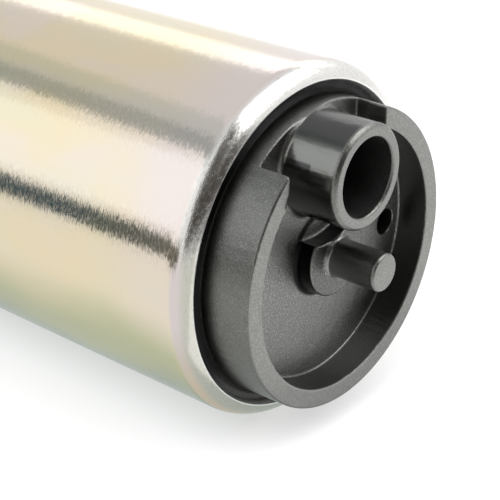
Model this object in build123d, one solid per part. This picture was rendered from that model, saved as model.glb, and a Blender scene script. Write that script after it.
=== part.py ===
from build123d import *
import os
from math import cos, degrees, radians, sin, sqrt

# In-tank electric fuel pump with a 38 mm steel body, lying on its side.
# The origin is on the pump's axis at the middle of the body. +X points out of the inlet
# end, -X out of the outlet end with its nipple and plug socket, +Z is up. All sizes are
# in millimetres. Angles of the cross-section are in degrees from +Y towards +Z.

# Housing: a steel tube rolled in over the parts that are stacked in it
body_radius = 19.0
housing_length = 76.0
wall = 1.2
lip_overlap = 0.5
slip_fit = 0.05

# Inlet cover: a die-cast disc with a C-shaped rim
inlet_flange_thickness = 4.6
disc_lip_gap = 1.5
disc_draft = 0.1
disc_foot_bevel = 0.5
floor_height = 1.5
rim_height = 3.6
rim_width = 2.1
rim_gap_right = 1.5
cast_bevel = 0.35
spigot_radius = 5.35
spigot_bore_radius = 4.0
spigot_height = 6.6
spigot_angle = 98.4
spigot_bore_floor = 2.2
inlet_port_step = 0.5
collar_gap = 2.9
boss_radius = 4.3
boss_height = 2.1
pin_radius = 2.0
pin_length = 5.8
vent_radius = 1.4
vent_rim_gap = 1.0
vent_angle = -4.3

# Pumping section: a side-channel impeller between the inlet cover and the pump casing
casing_rim_wall = 2.6
impeller_thickness = 3.6
impeller_side_gap = 0.1
impeller_rim_gap = 0.15
vane_count = 32
impeller_rim = 0.6
vane_height = 2.4
pocket_width = 1.6
pocket_depth = 1.5
pocket_lean = 22.0
balance_hole_count = 4
balance_hole_radius = 1.1
balance_hole_setback = 4.6
channel_margin = 0.4
channel_depth = 1.5
channel_arc = 300.0
channel_draft = 0.4
casing_plate_thickness = 4.2
outlet_port_radius = 1.3
thrust_button_radius = 2.5
thrust_button_thickness = 1.7
thrust_gap = 0.1
thrust_button_depth = 1.7

# Shaft and its bearings
shaft_radius = 2.0
shaft_flat = 1.5
shaft_clearance = 0.6
running_fit = 0.03
press_gap = 0.01
bearing_radius = 3.5
bearing_length = 5.0
bearing_wall = 1.0
casing_boss_height = 2.6
shaft_overhang = 1.0

# Armature
armature_end_gap = 2.6
slot_count = 8
tooth_width_share = 0.2
core_hub_share = 1 / 3
tooth_tip_thickness = 1.4
slot_opening = 1.4
insulator_thickness = 0.8
end_turn_length = 4.2
end_turn_bevel_share = 0.3
winding_gap = 0.2
commutator_outer_margin = 0.4
commutator_inner_margin = 1.0
commutator_gap = 0.6
commutator_carrier_thickness = 2.4
segment_thickness = 2.5
segment_slot = 0.6

# Magnets, their clips and the flux ring
flux_ring_wall = 1.9
air_gap = 0.6
magnet_thickness = 4.2
magnet_overhang = 3.0
magnet_arc = 128.0
magnet_clip_thickness = 0.8
magnet_clip_gap = 0.6

# Brushes and their holder
brush_width = 5.0
brush_depth = 4.0
brush_length = 9.0
brush_slide_gap = 0.1
brush_face_gap = 0.1
brush_travel = 3.0
brush_spring_solid = 3.0
brush_spring_radius = 1.6
brush_spring_wire = 0.5
tower_wall = 1.0
tower_end_wall = 1.3
holder_ring_wall = 1.5
holder_end_gap = 0.4
bridge_setback = 1.0
bridge_thickness = 2.5
lead_thickness = 0.8

# Suppression chokes and plug terminals
choke_core_radius = 1.6
choke_wire_thickness = 0.9
choke_end_bare = 1.0
choke_ring_gap = 0.65
choke_angle = -43.5
terminal_thickness = 0.8
terminal_width = 2.8
terminal_spacing = 8.4
terminal_foot_gap = 1.0
terminal_reach = 9.5

# Outlet cover: a moulded cap with the nipple, the plug socket and the relief valve
outlet_flange_thickness = 3.5
outlet_lip_gap = 0.9
outlet_disc_height = 3.5
outlet_disc_bevel = 0.8
outlet_top_thickness = 2.5
outlet_skirt_wall = 2.2
seal_width = 1.5
seal_depth = 1.6
nipple_edge_margin = 3.0
nipple_radius = 4.0
nipple_bore_radius = 2.75
nipple_length = 13.0
nipple_bead_radius = 4.6
nipple_bead_width = 1.6
valve_chamber_radius = 3.9
valve_chamber_wall = 1.5
socket_width = 15.2
socket_height = 7.4
socket_depth = 10.5
socket_wall = 1.3
socket_corner_radius = 1.2
socket_edge_margin = 0.4
latch_width = 4.0
latch_height = 1.2
latch_length = 2.4
latch_setback = 3.0
rib_thickness = 1.4
rib_height = 4.0

# Check valve in the nipple
valve_seat_thickness = 1.5
valve_seat_bore_radius = 2.0
poppet_radius = 3.0
poppet_thickness = 1.5
poppet_cone_height = 0.8
poppet_stem_radius = 0.8
valve_guide_thickness = 1.5
valve_guide_hub_radius = 1.6
valve_guide_rim = 0.8
valve_guide_spoke = 1.0
check_spring_radius = 2.4
check_spring_wire = 0.4
check_spring_solid = 2.5
check_valve_travel = 2.0

# Relief valve beside the nipple
relief_angle = 154.0
relief_edge_margin = 1.3
relief_tower_radius = 3.3
relief_chamber_radius = 2.2
relief_seat_thickness = 1.0
relief_port_radius = 1.2
relief_ball_radius = 1.75
relief_contact_gap = 0.03
relief_spring_wire = 0.4
relief_spring_solid = 1.5
relief_cap_thickness = 1.2
relief_cap_hole_radius = 1.0
relief_travel = 1.0

# Radii worked out from the body's bore inwards
bore_radius = body_radius - wall
stack_radius = bore_radius - slip_fit
lip_radius = bore_radius - lip_overlap
roll_radius = body_radius - lip_radius
disc_radius = lip_radius - disc_lip_gap
rim_inner_radius = disc_radius - rim_width
spigot_offset = disc_radius - spigot_radius
collar_radius = spigot_radius + collar_gap
vent_offset = rim_inner_radius - vent_rim_gap - vent_radius
cavity_radius = stack_radius - casing_rim_wall
impeller_radius = cavity_radius - impeller_rim_gap
vane_outer_radius = impeller_radius - impeller_rim
vane_inner_radius = vane_outer_radius - vane_height
balance_hole_offset = vane_inner_radius - balance_hole_setback
channel_inner_radius = vane_inner_radius
channel_outer_radius = vane_outer_radius + channel_margin
channel_mean_radius = (channel_inner_radius + channel_outer_radius) / 2
flux_inner_radius = stack_radius - flux_ring_wall
magnet_outer_radius = flux_inner_radius - slip_fit
magnet_inner_radius = magnet_outer_radius - magnet_thickness
core_radius = magnet_inner_radius - air_gap
slot_outer_radius = core_radius - tooth_tip_thickness
slot_inner_radius = shaft_radius + core_hub_share * slot_outer_radius
tooth_width = tooth_width_share * core_radius
bearing_seat_radius = bearing_radius + bearing_wall
brush_offset = bearing_seat_radius + tower_wall + brush_slide_gap + brush_depth / 2
commutator_radius = brush_offset + brush_depth / 2 + commutator_outer_margin
commutator_inner_radius = brush_offset - brush_depth / 2 - commutator_inner_margin
holder_inner_radius = stack_radius - holder_ring_wall
choke_radius = choke_core_radius + choke_wire_thickness
choke_offset = holder_inner_radius - choke_radius - choke_ring_gap
outlet_disc_radius = lip_radius - outlet_lip_gap
valve_tower_radius = valve_chamber_radius + valve_chamber_wall
nipple_offset = outlet_disc_radius - valve_tower_radius - nipple_edge_margin
relief_offset = outlet_disc_radius - relief_tower_radius - relief_edge_margin
socket_corner_y = socket_width / 2 + socket_wall
socket_reach = outlet_disc_radius - socket_edge_margin
socket_low_z = -sqrt(socket_reach**2 - socket_corner_y**2)
terminal_offset_z = socket_low_z + socket_wall + socket_height / 2

# Stations along the axis from the inlet end
inlet_end = housing_length / 2
inlet_flange_x = inlet_end - wall
inlet_inner_x = inlet_flange_x - inlet_flange_thickness
floor_x = inlet_end + floor_height
rim_x = floor_x + rim_height
boss_x = floor_x + boss_height
pin_x = boss_x + pin_length
spigot_x = floor_x + spigot_height
impeller_front_x = inlet_inner_x - impeller_side_gap
impeller_back_x = impeller_front_x - impeller_thickness
cavity_back_x = impeller_back_x - impeller_side_gap
casing_back_x = cavity_back_x - casing_plate_thickness
casing_boss_x = casing_back_x - casing_boss_height
button_face_x = inlet_inner_x + thrust_button_depth
shaft_tip_x = button_face_x - thrust_gap

# Stations from the outlet end up to the commutator
outlet_end = -housing_length / 2
outlet_flange_x = outlet_end + wall
outlet_inner_x = outlet_flange_x + outlet_flange_thickness
tower_back_x = outlet_inner_x + holder_end_gap
brush_stop_x = tower_back_x + tower_end_wall
brush_back_x = brush_stop_x + brush_spring_solid + brush_travel
brush_front_x = brush_back_x + brush_length
commutator_face_x = brush_front_x + brush_face_gap
segment_front_x = commutator_face_x + segment_thickness
carrier_front_x = segment_front_x + commutator_carrier_thickness
holder_front_x = commutator_face_x - bridge_setback
bridge_front_x = holder_front_x - bridge_setback
bridge_back_x = bridge_front_x - bridge_thickness
bearing_back_x = bridge_front_x - bearing_length
shaft_end_x = bearing_back_x - shaft_overhang
choke_back_x = outlet_inner_x + terminal_foot_gap + terminal_thickness
lead_front_x = brush_back_x + 1.5 * lead_thickness
lead_back_x = choke_back_x + choke_end_bare + lead_thickness / 2

# The armature fills what is left between the commutator and the pump casing
winding_back_x = carrier_front_x + commutator_gap
winding_front_x = casing_boss_x - armature_end_gap
core_back_x = winding_back_x + end_turn_length + insulator_thickness
core_front_x = winding_front_x - end_turn_length - insulator_thickness
bundle_inner_radius = slot_inner_radius + winding_gap
bundle_outer_radius = slot_outer_radius - winding_gap
end_turn_bevel = end_turn_bevel_share * (bundle_outer_radius - bundle_inner_radius)
magnet_back_x = core_back_x - magnet_overhang
magnet_front_x = core_front_x + magnet_overhang

# Stations of the outlet cover and its valves
outlet_top_x = outlet_end - outlet_disc_height
outlet_ceiling_x = outlet_top_x + outlet_top_thickness
socket_mouth_x = outlet_top_x - socket_depth
valve_seat_x = outlet_ceiling_x - valve_seat_thickness
poppet_back_x = valve_seat_x - poppet_thickness
valve_guide_x = poppet_back_x - check_valve_travel - check_spring_solid
valve_chamber_end_x = valve_guide_x - valve_guide_thickness
nipple_base_x = valve_chamber_end_x - valve_chamber_wall
nipple_tip_x = nipple_base_x - nipple_length
relief_chamber_x = outlet_ceiling_x - relief_seat_thickness
relief_seat_x = relief_chamber_x - relief_seat_thickness
relief_ball_rest = sqrt(relief_ball_radius**2 - relief_port_radius**2) + relief_contact_gap
relief_ball_x = relief_seat_x - relief_ball_rest
relief_spring_inner = relief_port_radius - relief_spring_wire / 2
relief_spring_outer = relief_spring_inner + relief_spring_wire
relief_spring_rest = sqrt(relief_ball_radius**2 - relief_spring_inner**2) + relief_contact_gap
relief_spring_x = relief_ball_x - relief_spring_rest
relief_cap_x = relief_spring_x - relief_travel - relief_spring_solid
relief_tower_x = relief_cap_x - relief_cap_thickness


def polar(radius, angle):
    """Point (y, z) of the cross-section at a radius and an angle."""
    return radius * cos(radians(angle)), radius * sin(radians(angle))


def bar(section, x_low, x_high):
    """Extrude a (y, z) section along the pump's axis."""
    return extrude(Plane.YZ.offset(x_low) * section, amount=x_high - x_low)


def tube(outer, inner, x_low, x_high):
    """Plain ring on the pump's axis."""
    return bar(Circle(outer) - Circle(inner), x_low, x_high)


def turned(outline):
    """Turn an outline drawn as (x, radius) about the pump's axis."""
    return revolve(make_face(outline), Axis.X)


def turned_corners(*corners):
    """Turn straight-sided (x, radius) corners about the pump's axis."""
    return turned(Polyline(*corners, close=True))


def at(centre, shape):
    """Move a shape from the pump's axis to a parallel one through (y, z)."""
    return Pos(0, centre[0], centre[1]) * shape


def arc_band(inner, outer, x_low, x_high, start, sweep):
    """Part of a ring on the pump's axis, from one angle through a sweep."""
    section = Polyline((x_low, inner), (x_high, inner), (x_high, outer), (x_low, outer), close=True)
    return Rot(X=start) * revolve(make_face(section), Axis.X, sweep)


def d_section(radius, flat):
    """Round section with one flat on its +Z side."""
    return Circle(radius) & Pos(0, flat - radius) * Rectangle(2 * radius, 2 * radius)


def post(radius, x_foot, x_tip, foot, tip, draft=0):
    """Stub pointing to +X with a flared foot and a bevelled tip, on the pump's axis."""
    wide = radius + draft
    return turned_corners(
        (x_foot, 0),
        (x_foot, wide + foot),
        (x_foot + foot, wide),
        (x_tip - tip, radius),
        (x_tip, radius - tip),
        (x_tip, 0),
    )


spigot_centre = polar(spigot_offset, spigot_angle)
vent_centre = polar(vent_offset, vent_angle)
choke_centre = polar(choke_offset, choke_angle)
nipple_centre = (0, nipple_offset)
relief_centre = polar(relief_offset, relief_angle)
channel_start = spigot_angle - channel_arc


def make_housing():
    """Steel tube whose two ends are rolled in over the flanges of the covers."""
    straight = inlet_end - roll_radius
    under_lip = inlet_end - wall
    outline = Line((-straight, body_radius), (straight, body_radius))
    outline += CenterArc((straight, lip_radius), roll_radius, 0, 90)
    outline += CenterArc((-straight, lip_radius), roll_radius, 90, 90)
    outline += Polyline(
        (inlet_end, lip_radius),
        (under_lip, lip_radius),
        (under_lip, bore_radius),
        (-under_lip, bore_radius),
        (-under_lip, lip_radius),
        (-inlet_end, lip_radius),
    )
    return turned(outline)


def fuel_channel(face_x, depth):
    """Cutter for the side channel, from the inlet round to the outlet port."""
    outline = Polyline(
        (face_x, channel_inner_radius),
        (face_x, channel_outer_radius),
        (face_x + depth, channel_outer_radius - channel_draft),
        (face_x + depth, channel_inner_radius + channel_draft),
        close=True,
    )
    return Rot(X=channel_start) * revolve(make_face(outline), Axis.X, channel_arc)


def make_inlet_cover():
    """Die-cast cover: flange, drafted disc, C rim, spigot, centre pin and vapour vent."""
    bevel = cast_bevel / 2
    disc = post(disc_radius, inlet_flange_x, rim_x, disc_foot_bevel, bevel, disc_draft)
    pocket = bar(Circle(rim_inner_radius), floor_x, rim_x)
    gap_left = spigot_centre[0] - collar_radius
    gap_right = spigot_centre[0] + spigot_radius + rim_gap_right
    gap_middle = Pos((gap_left + gap_right) / 2, body_radius / 2)
    rim_gap = gap_middle * Rectangle(gap_right - gap_left, body_radius)
    cover = bar(Circle(stack_radius), inlet_inner_x, inlet_flange_x)
    cover += disc - pocket - bar(rim_gap, floor_x, rim_x)

    collar = at(spigot_centre, bar(Circle(collar_radius), floor_x, rim_x))
    boss = post(boss_radius, floor_x, boss_x, cast_bevel, bevel)
    pin_foot = post(pin_radius, boss_x, pin_x, cast_bevel, bevel)
    cover += (boss + pin_foot) - collar
    spigot = at(spigot_centre, post(spigot_radius, floor_x, spigot_x, cast_bevel, cast_bevel))
    beyond_rim = bar(Circle(body_radius), rim_x - bevel, spigot_x)
    cover += spigot & (disc + beyond_rim)

    bore_floor_x = inlet_inner_x + spigot_bore_floor
    bore = bar(Circle(spigot_bore_radius), bore_floor_x, spigot_x)
    lead_in = turned_corners(
        (spigot_x - bevel, 0),
        (spigot_x - bevel, spigot_bore_radius),
        (spigot_x, spigot_bore_radius + bevel),
        (spigot_x, 0),
    )
    port_radius = spigot_bore_radius - inlet_port_step
    port = at(spigot_centre, bar(Circle(port_radius), inlet_inner_x, bore_floor_x))
    port &= tube(channel_outer_radius, channel_inner_radius, inlet_inner_x, bore_floor_x)
    vent = at(vent_centre, bar(Circle(vent_radius), inlet_inner_x, floor_x))
    button_seat = bar(
        Circle(thrust_button_radius + press_gap),
        inlet_inner_x,
        button_face_x + thrust_button_thickness,
    )
    cover -= at(spigot_centre, bore + lead_in)
    cover -= port + vent + button_seat + fuel_channel(inlet_inner_x, channel_depth)
    return cover


def make_pump_casing():
    """Die-cast casing behind the impeller, with the fuel channel and the front bearing's seat."""
    casing = bar(Circle(stack_radius), casing_back_x, inlet_inner_x)
    casing += bar(Circle(bearing_seat_radius), casing_boss_x, casing_back_x)
    casing -= bar(Circle(cavity_radius), cavity_back_x, inlet_inner_x)
    seat_end_x = casing_boss_x + bearing_length
    casing -= bar(Circle(bearing_radius + press_gap), casing_boss_x, seat_end_x)
    casing -= bar(Circle(shaft_radius + shaft_clearance), casing_boss_x, cavity_back_x)
    casing -= fuel_channel(cavity_back_x, -channel_depth)
    port_centre = polar(channel_mean_radius, channel_start)
    casing -= at(port_centre, bar(Circle(outlet_port_radius), casing_back_x, cavity_back_x))
    return casing


def make_impeller():
    """Side-channel wheel: slanting vane pockets in both faces inside a closed rim."""
    wheel = bar(Circle(impeller_radius), impeller_back_x, impeller_front_x)
    pocket_middle = (vane_inner_radius + vane_outer_radius) / 2
    pocket = Box(2 * pocket_depth, vane_outer_radius - vane_inner_radius, pocket_width)
    pockets = []
    for step in range(vane_count):
        angle = 360 * step / vane_count
        for face_x, lean in ((impeller_front_x, pocket_lean), (impeller_back_x, -pocket_lean)):
            pockets.append(Rot(X=angle) * Pos(face_x, pocket_middle, 0) * Rot(Y=lean) * pocket)
    wheel -= pockets
    for step in range(balance_hole_count):
        centre = polar(balance_hole_offset, 360 * step / balance_hole_count)
        wheel -= at(centre, bar(Circle(balance_hole_radius), impeller_back_x, impeller_front_x))
    bore = d_section(shaft_radius + running_fit, shaft_flat + running_fit)
    return wheel - bar(bore, impeller_back_x, impeller_front_x)


def make_shaft():
    """Ground steel shaft with a flat that drives the impeller."""
    shaft = bar(Circle(shaft_radius), shaft_end_x, impeller_back_x)
    return shaft + bar(d_section(shaft_radius, shaft_flat), impeller_back_x, shaft_tip_x)


def make_bearing(x_low):
    """Plain sintered bush."""
    return tube(bearing_radius, shaft_radius + running_fit, x_low, x_low + bearing_length)


def slot_outline(gap):
    """Pear-shaped winding slot on +Y, shrunk by a gap all round."""
    half_pitch = sin(radians(180 / slot_count))
    inner = slot_inner_radius + gap
    outer = slot_outer_radius - gap
    inner_half = inner * half_pitch - tooth_width / 2 - gap
    outer_half = outer * half_pitch - tooth_width / 2 - gap
    return make_face(
        Polyline(
            (inner, -inner_half),
            (outer, -outer_half),
            (outer, outer_half),
            (inner, inner_half),
            close=True,
        )
    )


def slotted_section(radius):
    """Round lamination with its slots open to the outside."""
    section = Circle(radius) - Circle(shaft_radius + press_gap)
    mouth_length = 2 * (core_radius - slot_outer_radius)
    mouth = Pos(slot_outer_radius + mouth_length / 2, 0) * Rectangle(mouth_length, slot_opening)
    slot = slot_outline(0) + mouth
    for step in range(slot_count):
        section -= Rot(Z=360 * step / slot_count) * slot
    return section


def make_windings():
    """Copper in the slots, joined by the bundles of end turns at both ends of the core."""
    inner = bundle_inner_radius
    outer = bundle_outer_radius
    legs_back_x = winding_back_x + end_turn_bevel
    legs_front_x = winding_front_x - end_turn_bevel
    front = tube(outer, inner, core_front_x + insulator_thickness, winding_front_x)
    back = tube(outer, inner, winding_back_x, core_back_x - insulator_thickness)
    copper = chamfer(front.edges().group_by(Axis.X)[-1], end_turn_bevel)
    copper += chamfer(back.edges().group_by(Axis.X)[0], end_turn_bevel)
    for step in range(slot_count):
        leg = bar(slot_outline(winding_gap), legs_back_x, legs_front_x)
        copper += Rot(X=360 * step / slot_count) * leg
    return copper


def make_commutator_carrier():
    """Moulded hub that carries the segments."""
    return tube(commutator_radius, shaft_radius + press_gap, segment_front_x, carrier_front_x)


def make_commutator_segments():
    """Flat ring of copper parted by radial slots."""
    ring = tube(commutator_radius, commutator_inner_radius, commutator_face_x, segment_front_x)
    saw = bar(
        Pos(commutator_radius / 2, 0) * Rectangle(1.2 * commutator_radius, segment_slot),
        commutator_face_x,
        segment_front_x,
    )
    for step in range(slot_count):
        ring -= Rot(X=360 * (step + 0.5) / slot_count) * saw
    return ring


def make_magnet(middle_angle):
    """Ferrite arc of one pole."""
    return arc_band(
        magnet_inner_radius,
        magnet_outer_radius,
        magnet_back_x,
        magnet_front_x,
        middle_angle - magnet_arc / 2,
        magnet_arc,
    )


def make_magnet_clip(middle_angle):
    """Bent spring-steel channel that spreads the two magnets apart."""
    outer = magnet_outer_radius
    x_low = magnet_back_x + magnet_clip_thickness
    x_high = magnet_front_x - magnet_clip_thickness
    sweep = 180 - magnet_arc - degrees(magnet_clip_gap / outer)
    leg = degrees(magnet_clip_thickness / outer)
    start = middle_angle - sweep / 2
    clip = arc_band(outer - magnet_clip_thickness, outer, x_low, x_high, start, sweep)
    for leg_start in (start, start + sweep - leg):
        clip += arc_band(magnet_inner_radius + magnet_clip_gap, outer, x_low, x_high, leg_start, leg)
    return clip


def brush_box(grow, x_low, x_high, side):
    """Prism along the axis round one brush, larger than it by grow on each side."""
    section = Pos(side * brush_offset, 0) * Rectangle(brush_depth + 2 * grow, brush_width + 2 * grow)
    return bar(section, x_low, x_high)


def make_brush_holder():
    """Moulded ring and bridge with two brush towers and the rear bearing's seat."""
    holder = tube(stack_radius, holder_inner_radius, outlet_inner_x, holder_front_x)
    grow = brush_slide_gap + tower_wall
    tower_half = brush_width / 2 + grow
    bridge_low = choke_centre[1] - choke_radius
    bridge = Pos(0, (tower_half + bridge_low) / 2) * Rectangle(
        2 * stack_radius, tower_half - bridge_low
    )
    bridge &= Circle(holder_inner_radius + holder_ring_wall / 2)
    holder += bar(bridge, bridge_back_x, bridge_front_x)
    holder += bar(Circle(bearing_seat_radius), bearing_back_x, bridge_front_x)
    for side in (-1, 1):
        holder += brush_box(grow, tower_back_x, holder_front_x, side)
    holder -= bar(Circle(bearing_radius + press_gap), bearing_back_x, bridge_front_x)
    for side in (-1, 1):
        holder -= brush_box(brush_slide_gap, brush_stop_x, holder_front_x, side)
        slot = Rectangle(2 * lead_thickness, 2 * tower_wall)
        slot = Pos(side * brush_offset, -tower_half + tower_wall / 2) * slot
        holder -= bar(slot, brush_stop_x, lead_front_x + lead_thickness)
    return holder


def make_brush_lead(side):
    """Flat braid from the side of a brush, out of its tower, to the choke's winding."""
    brush_side_z = -brush_width / 2
    choke_top_z = choke_centre[1] + choke_radius
    out_z = (brush_side_z - tower_wall + choke_top_z) / 2
    route = FilletPolyline(
        (lead_front_x, side * brush_offset, brush_side_z),
        (lead_front_x, side * brush_offset, out_z),
        (lead_back_x, side * choke_centre[0], out_z),
        (lead_back_x, side * choke_centre[0], choke_top_z),
        radius=lead_thickness,
    )
    start = Plane(route @ 0, z_dir=route % 0)
    return sweep(start * Rectangle(lead_thickness, lead_thickness), path=route)


def make_choke_core(side):
    """Ferrite rod standing on the bridge."""
    rod = bar(Circle(choke_core_radius), choke_back_x, bridge_back_x)
    return at((side * choke_centre[0], choke_centre[1]), rod)


def make_choke_winding(side):
    """Copper wound on the choke's rod."""
    winding = tube(
        choke_radius,
        choke_core_radius + press_gap,
        choke_back_x + choke_end_bare,
        bridge_back_x - choke_end_bare,
    )
    return at((side * choke_centre[0], choke_centre[1]), winding)


def terminal_section(side, grow):
    """Cross-section of a plug blade."""
    return Pos(side * terminal_spacing / 2, terminal_offset_z) * Rectangle(
        terminal_thickness + 2 * grow, terminal_width + 2 * grow
    )


def make_terminal(side):
    """Plug blade with a foot on the end of the choke."""
    blade = bar(terminal_section(side, 0), outlet_top_x - terminal_reach, choke_back_x)
    inner_y = (terminal_spacing - terminal_thickness) / 2
    outer_y = choke_centre[0] + choke_core_radius
    foot_middle = Pos(side * (inner_y + outer_y) / 2, (terminal_offset_z + choke_centre[1]) / 2)
    foot = foot_middle * Rectangle(outer_y - inner_y, terminal_width)
    return blade + bar(foot, choke_back_x - terminal_thickness, choke_back_x)


def make_latch():
    """Ramp on top of the plug socket that the plug's clip snaps over."""
    top_z = terminal_offset_z + socket_height / 2 + socket_wall
    front_x = socket_mouth_x + latch_setback
    ramp = Polyline(
        (front_x, top_z - socket_wall / 2),
        (front_x, top_z),
        (front_x + latch_length, top_z + latch_height),
        (front_x + latch_length, top_z - socket_wall / 2),
        close=True,
    )
    return extrude(Plane.XZ * make_face(ramp), amount=latch_width / 2, both=True)


def make_ribs():
    """Two webs that brace the valve chamber against the disc."""
    reach = sqrt((outlet_disc_radius - outlet_disc_bevel) ** 2 - nipple_offset**2)
    web = Pos(0, nipple_offset) * Rectangle(2 * reach, rib_thickness)
    block = bar(web, outlet_top_x - rib_height, outlet_top_x)
    slope = Polyline(
        (outlet_top_x, -reach),
        (outlet_top_x - rib_height, -valve_chamber_radius),
        (outlet_top_x - rib_height, valve_chamber_radius),
        (outlet_top_x, reach),
        close=True,
    )
    return block & extrude(make_face(slope), amount=body_radius)


def make_outlet_cover():
    """Moulded cap: flange, disc, hose nipple with valve chamber, plug socket, relief tower."""
    disc = bar(Circle(outlet_disc_radius), outlet_top_x, outlet_flange_x)
    disc = chamfer(disc.edges().group_by(Axis.X)[0], outlet_disc_bevel)
    cover = disc + bar(Circle(stack_radius), outlet_flange_x, outlet_inner_x)

    bead_x = nipple_tip_x + 1.5 * nipple_bead_width
    half_bead = nipple_bead_width / 2
    nipple = turned_corners(
        (outlet_top_x, 0),
        (outlet_top_x, valve_tower_radius),
        (valve_chamber_end_x, valve_tower_radius),
        (nipple_base_x, nipple_radius),
        (bead_x + half_bead, nipple_radius),
        (bead_x, nipple_bead_radius),
        (nipple_tip_x, nipple_radius - (nipple_bead_radius - nipple_radius)),
        (nipple_tip_x, 0),
    )
    cover += at(nipple_centre, nipple)

    outside = RectangleRounded(
        2 * socket_corner_y, socket_height + 2 * socket_wall, socket_corner_radius
    )
    cover += at((0, terminal_offset_z), bar(outside, socket_mouth_x, outlet_top_x))
    cover += at(relief_centre, bar(Circle(relief_tower_radius), relief_tower_x, outlet_top_x))

    cover += make_latch() + make_ribs()

    seal_inner = stack_radius - seal_depth
    seal_x = (outlet_inner_x + outlet_flange_x) / 2
    cover -= tube(body_radius, seal_inner, seal_x - seal_width / 2, seal_x + seal_width / 2)
    hollow_radius = outlet_disc_radius - outlet_skirt_wall
    cover -= bar(Circle(hollow_radius), outlet_ceiling_x, outlet_inner_x)
    inside = Rectangle(socket_width, socket_height)
    cover -= at((0, terminal_offset_z), bar(inside, socket_mouth_x, outlet_top_x))
    for side in (-1, 1):
        cover -= bar(terminal_section(side, press_gap), outlet_top_x, outlet_ceiling_x)
    cover -= at(nipple_centre, bar(Circle(valve_chamber_radius), valve_chamber_end_x, outlet_ceiling_x))
    cover -= at(nipple_centre, bar(Circle(nipple_bore_radius), nipple_tip_x, outlet_ceiling_x))
    relief_bore = bar(Circle(relief_chamber_radius), relief_tower_x, relief_chamber_x)
    relief_bore += bar(Circle(relief_port_radius), relief_chamber_x, outlet_ceiling_x)
    cover -= at(relief_centre, relief_bore)
    return cover


def make_outlet_seal():
    """Square-cut rubber ring in the groove of the outlet cover's flange."""
    seal_x = (outlet_inner_x + outlet_flange_x) / 2
    seal_inner = stack_radius - seal_depth
    return tube(stack_radius, seal_inner, seal_x - seal_width / 2, seal_x + seal_width / 2)


def make_valve_seat():
    """Ring pressed into the mouth of the check valve's chamber."""
    seat_radius = valve_chamber_radius - press_gap
    seat = tube(seat_radius, valve_seat_bore_radius, valve_seat_x, outlet_ceiling_x)
    return at(nipple_centre, seat)


def make_poppet():
    """Check-valve poppet: a cone-backed head on a guided stem."""
    return at(nipple_centre, turned_corners(
        (valve_seat_x, 0),
        (valve_seat_x, poppet_radius),
        (poppet_back_x + poppet_cone_height, poppet_radius),
        (poppet_back_x, check_spring_radius),
        (poppet_back_x, poppet_stem_radius),
        (valve_chamber_end_x, poppet_stem_radius),
        (valve_chamber_end_x, 0),
    ))


def make_valve_guide():
    """Spoked ring that guides the poppet's stem and holds the spring."""
    rim_outer = valve_chamber_radius - press_gap
    rim = tube(rim_outer, rim_outer - valve_guide_rim, valve_chamber_end_x, valve_guide_x)
    guide = rim + bar(Circle(valve_guide_hub_radius), valve_chamber_end_x, valve_guide_x)
    for step in range(3):
        reach = rim_outer - valve_guide_rim / 2
        spoke = Pos(reach / 2, 0) * Rectangle(reach, valve_guide_spoke)
        guide += Rot(X=90 + 120 * step) * bar(spoke, valve_chamber_end_x, valve_guide_x)
    guide -= bar(Circle(poppet_stem_radius + 2 * running_fit), valve_chamber_end_x, valve_guide_x)
    return at(nipple_centre, guide)


def make_check_spring():
    """Envelope of the coil spring behind the poppet."""
    inner = check_spring_radius - check_spring_wire
    return at(nipple_centre, tube(check_spring_radius, inner, valve_guide_x, poppet_back_x))


def make_brush_spring(side):
    """Envelope of the coil spring behind a brush."""
    inner = brush_spring_radius - brush_spring_wire
    sleeve = tube(brush_spring_radius, inner, brush_stop_x, brush_back_x)
    return at((side * brush_offset, 0), sleeve)


def make_relief_seat():
    """Brass ring that the relief valve's ball closes."""
    seat_radius = relief_chamber_radius - press_gap
    return at(relief_centre, tube(seat_radius, relief_port_radius, relief_seat_x, relief_chamber_x))


def make_relief_ball():
    """Steel ball of the relief valve."""
    return Pos(relief_ball_x, *relief_centre) * Sphere(relief_ball_radius)


def make_relief_spring():
    """Envelope of the coil spring behind the ball."""
    sleeve = tube(relief_spring_outer, relief_spring_inner, relief_cap_x, relief_spring_x)
    return at(relief_centre, sleeve)


def make_relief_cap():
    """Drilled plug that closes the relief valve's tower and holds its spring."""
    cap_radius = relief_chamber_radius - press_gap
    return at(relief_centre, tube(cap_radius, relief_cap_hole_radius, relief_tower_x, relief_cap_x))


core_section = slotted_section(core_radius)
insulator_section = slotted_section(core_radius - winding_gap)
button_back_x = button_face_x + thrust_button_thickness

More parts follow.
